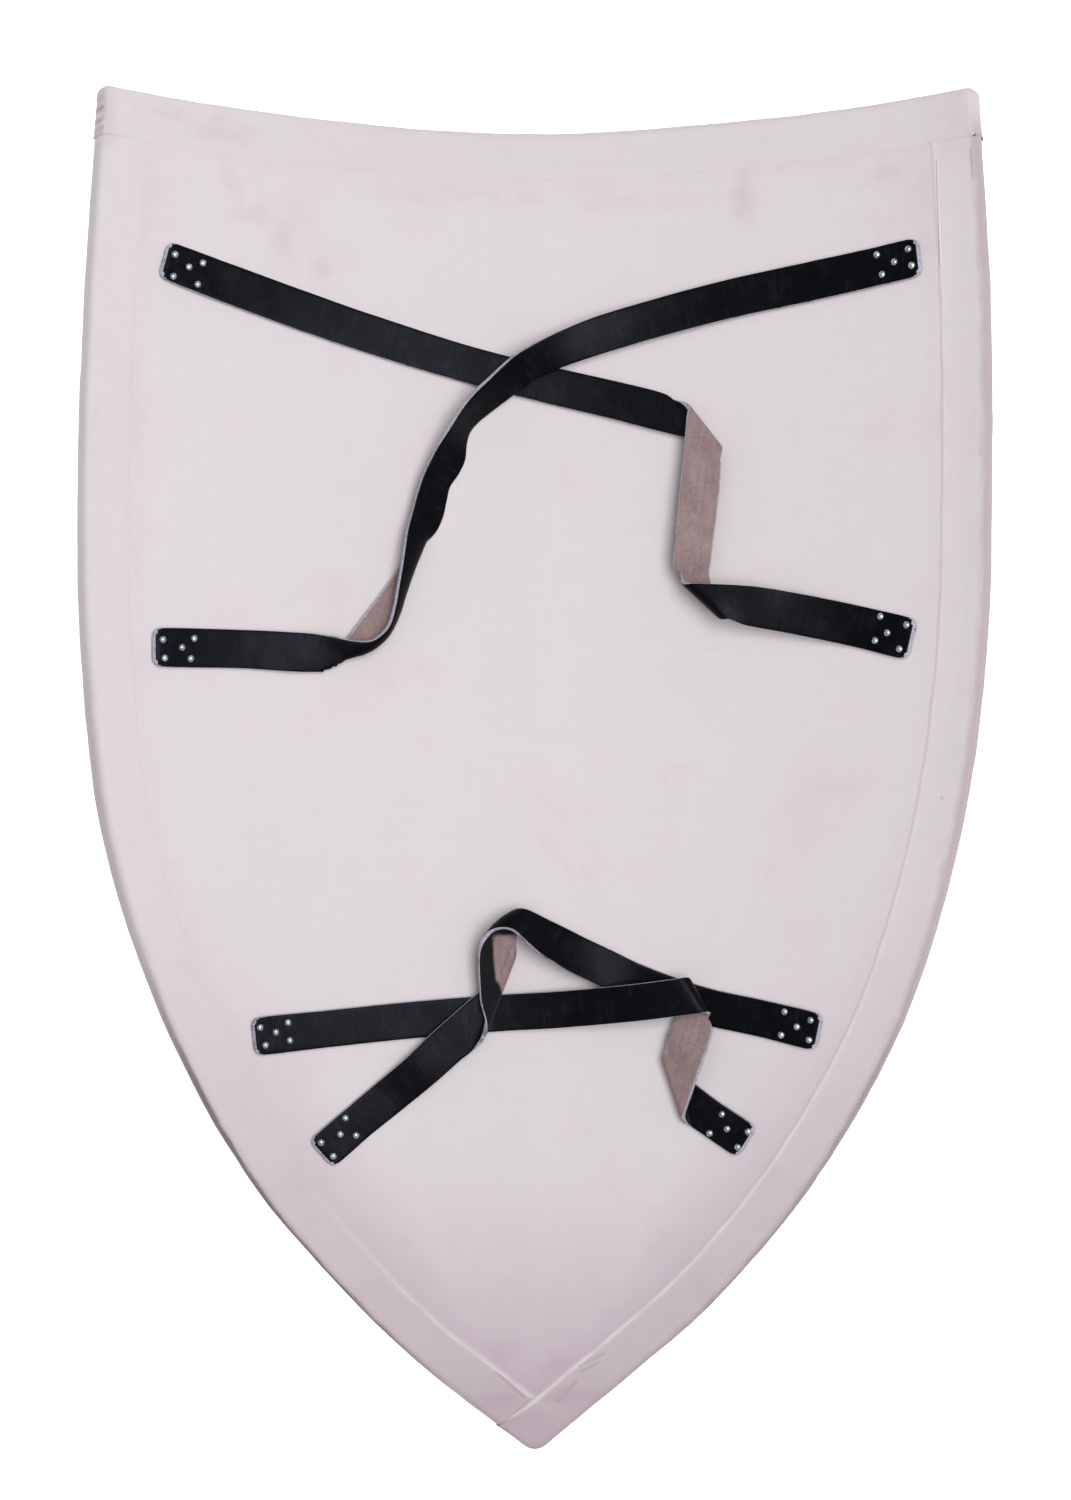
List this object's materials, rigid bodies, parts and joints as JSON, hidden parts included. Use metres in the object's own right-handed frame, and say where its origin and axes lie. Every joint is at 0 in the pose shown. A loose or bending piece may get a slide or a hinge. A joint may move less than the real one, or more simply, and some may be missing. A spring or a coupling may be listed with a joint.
{
  "type": "heater shield",
  "caption": "Bowed heater shield with a cloth-bound edge, lying on its front, with folded leather straps riveted inside its hollow back.",
  "frame": {"origin": "centre of the bounding box at its lowest level, where the bowed front rests", "axes": "+X to the right and +Y towards the straight top edge as seen from the hollow back, +Z out of the hollow back"},
  "size_m": [0.494, 0.7532, 0.092],
  "materials": {
    "covered_board": "plywood under a primed off-white cloth, matt",
    "edge_cloth": "off-white cloth strip, matt, slightly pinker than the board",
    "strap_leather": "black grain side with a low sheen, greyish-brown flesh side, pale cut edges",
    "rivet_steel": "bright plated steel"
  },
  "bodies": {
    "root": {"board": "covered_board", "edge_strip_top": "edge_cloth", "edge_strip_left": "edge_cloth", "edge_strip_right": "edge_cloth", "upper_strap_under": "strap_leather", "upper_strap_over": "strap_leather", "lower_strap_left": "strap_leather", "lower_strap_right": "strap_leather", "rivet_1_1": "rivet_steel", "rivet_1_2": "rivet_steel", "rivet_1_3": "rivet_steel", "rivet_1_4": "rivet_steel", "rivet_1_5": "rivet_steel", "rivet_2_1": "rivet_steel", "rivet_2_2": "rivet_steel", "rivet_2_3": "rivet_steel", "rivet_2_4": "rivet_steel", "rivet_2_5": "rivet_steel", "rivet_3_1": "rivet_steel", "rivet_3_2": "rivet_steel", "rivet_3_3": "rivet_steel", "rivet_3_4": "rivet_steel", "rivet_3_5": "rivet_steel", "rivet_4_1": "rivet_steel", "rivet_4_2": "rivet_steel", "rivet_4_3": "rivet_steel", "rivet_4_4": "rivet_steel", "rivet_4_5": "rivet_steel", "rivet_5_1": "rivet_steel", "rivet_5_2": "rivet_steel", "rivet_5_3": "rivet_steel", "rivet_5_4": "rivet_steel", "rivet_5_5": "rivet_steel", "rivet_6_1": "rivet_steel", "rivet_6_2": "rivet_steel", "rivet_6_3": "rivet_steel", "rivet_6_4": "rivet_steel", "rivet_6_5": "rivet_steel", "rivet_7_1": "rivet_steel", "rivet_7_2": "rivet_steel", "rivet_7_3": "rivet_steel", "rivet_7_4": "rivet_steel", "rivet_7_5": "rivet_steel", "rivet_8_1": "rivet_steel", "rivet_8_2": "rivet_steel", "rivet_8_3": "rivet_steel", "rivet_8_4": "rivet_steel", "rivet_8_5": "rivet_steel"}
  },
  "joints": []
}
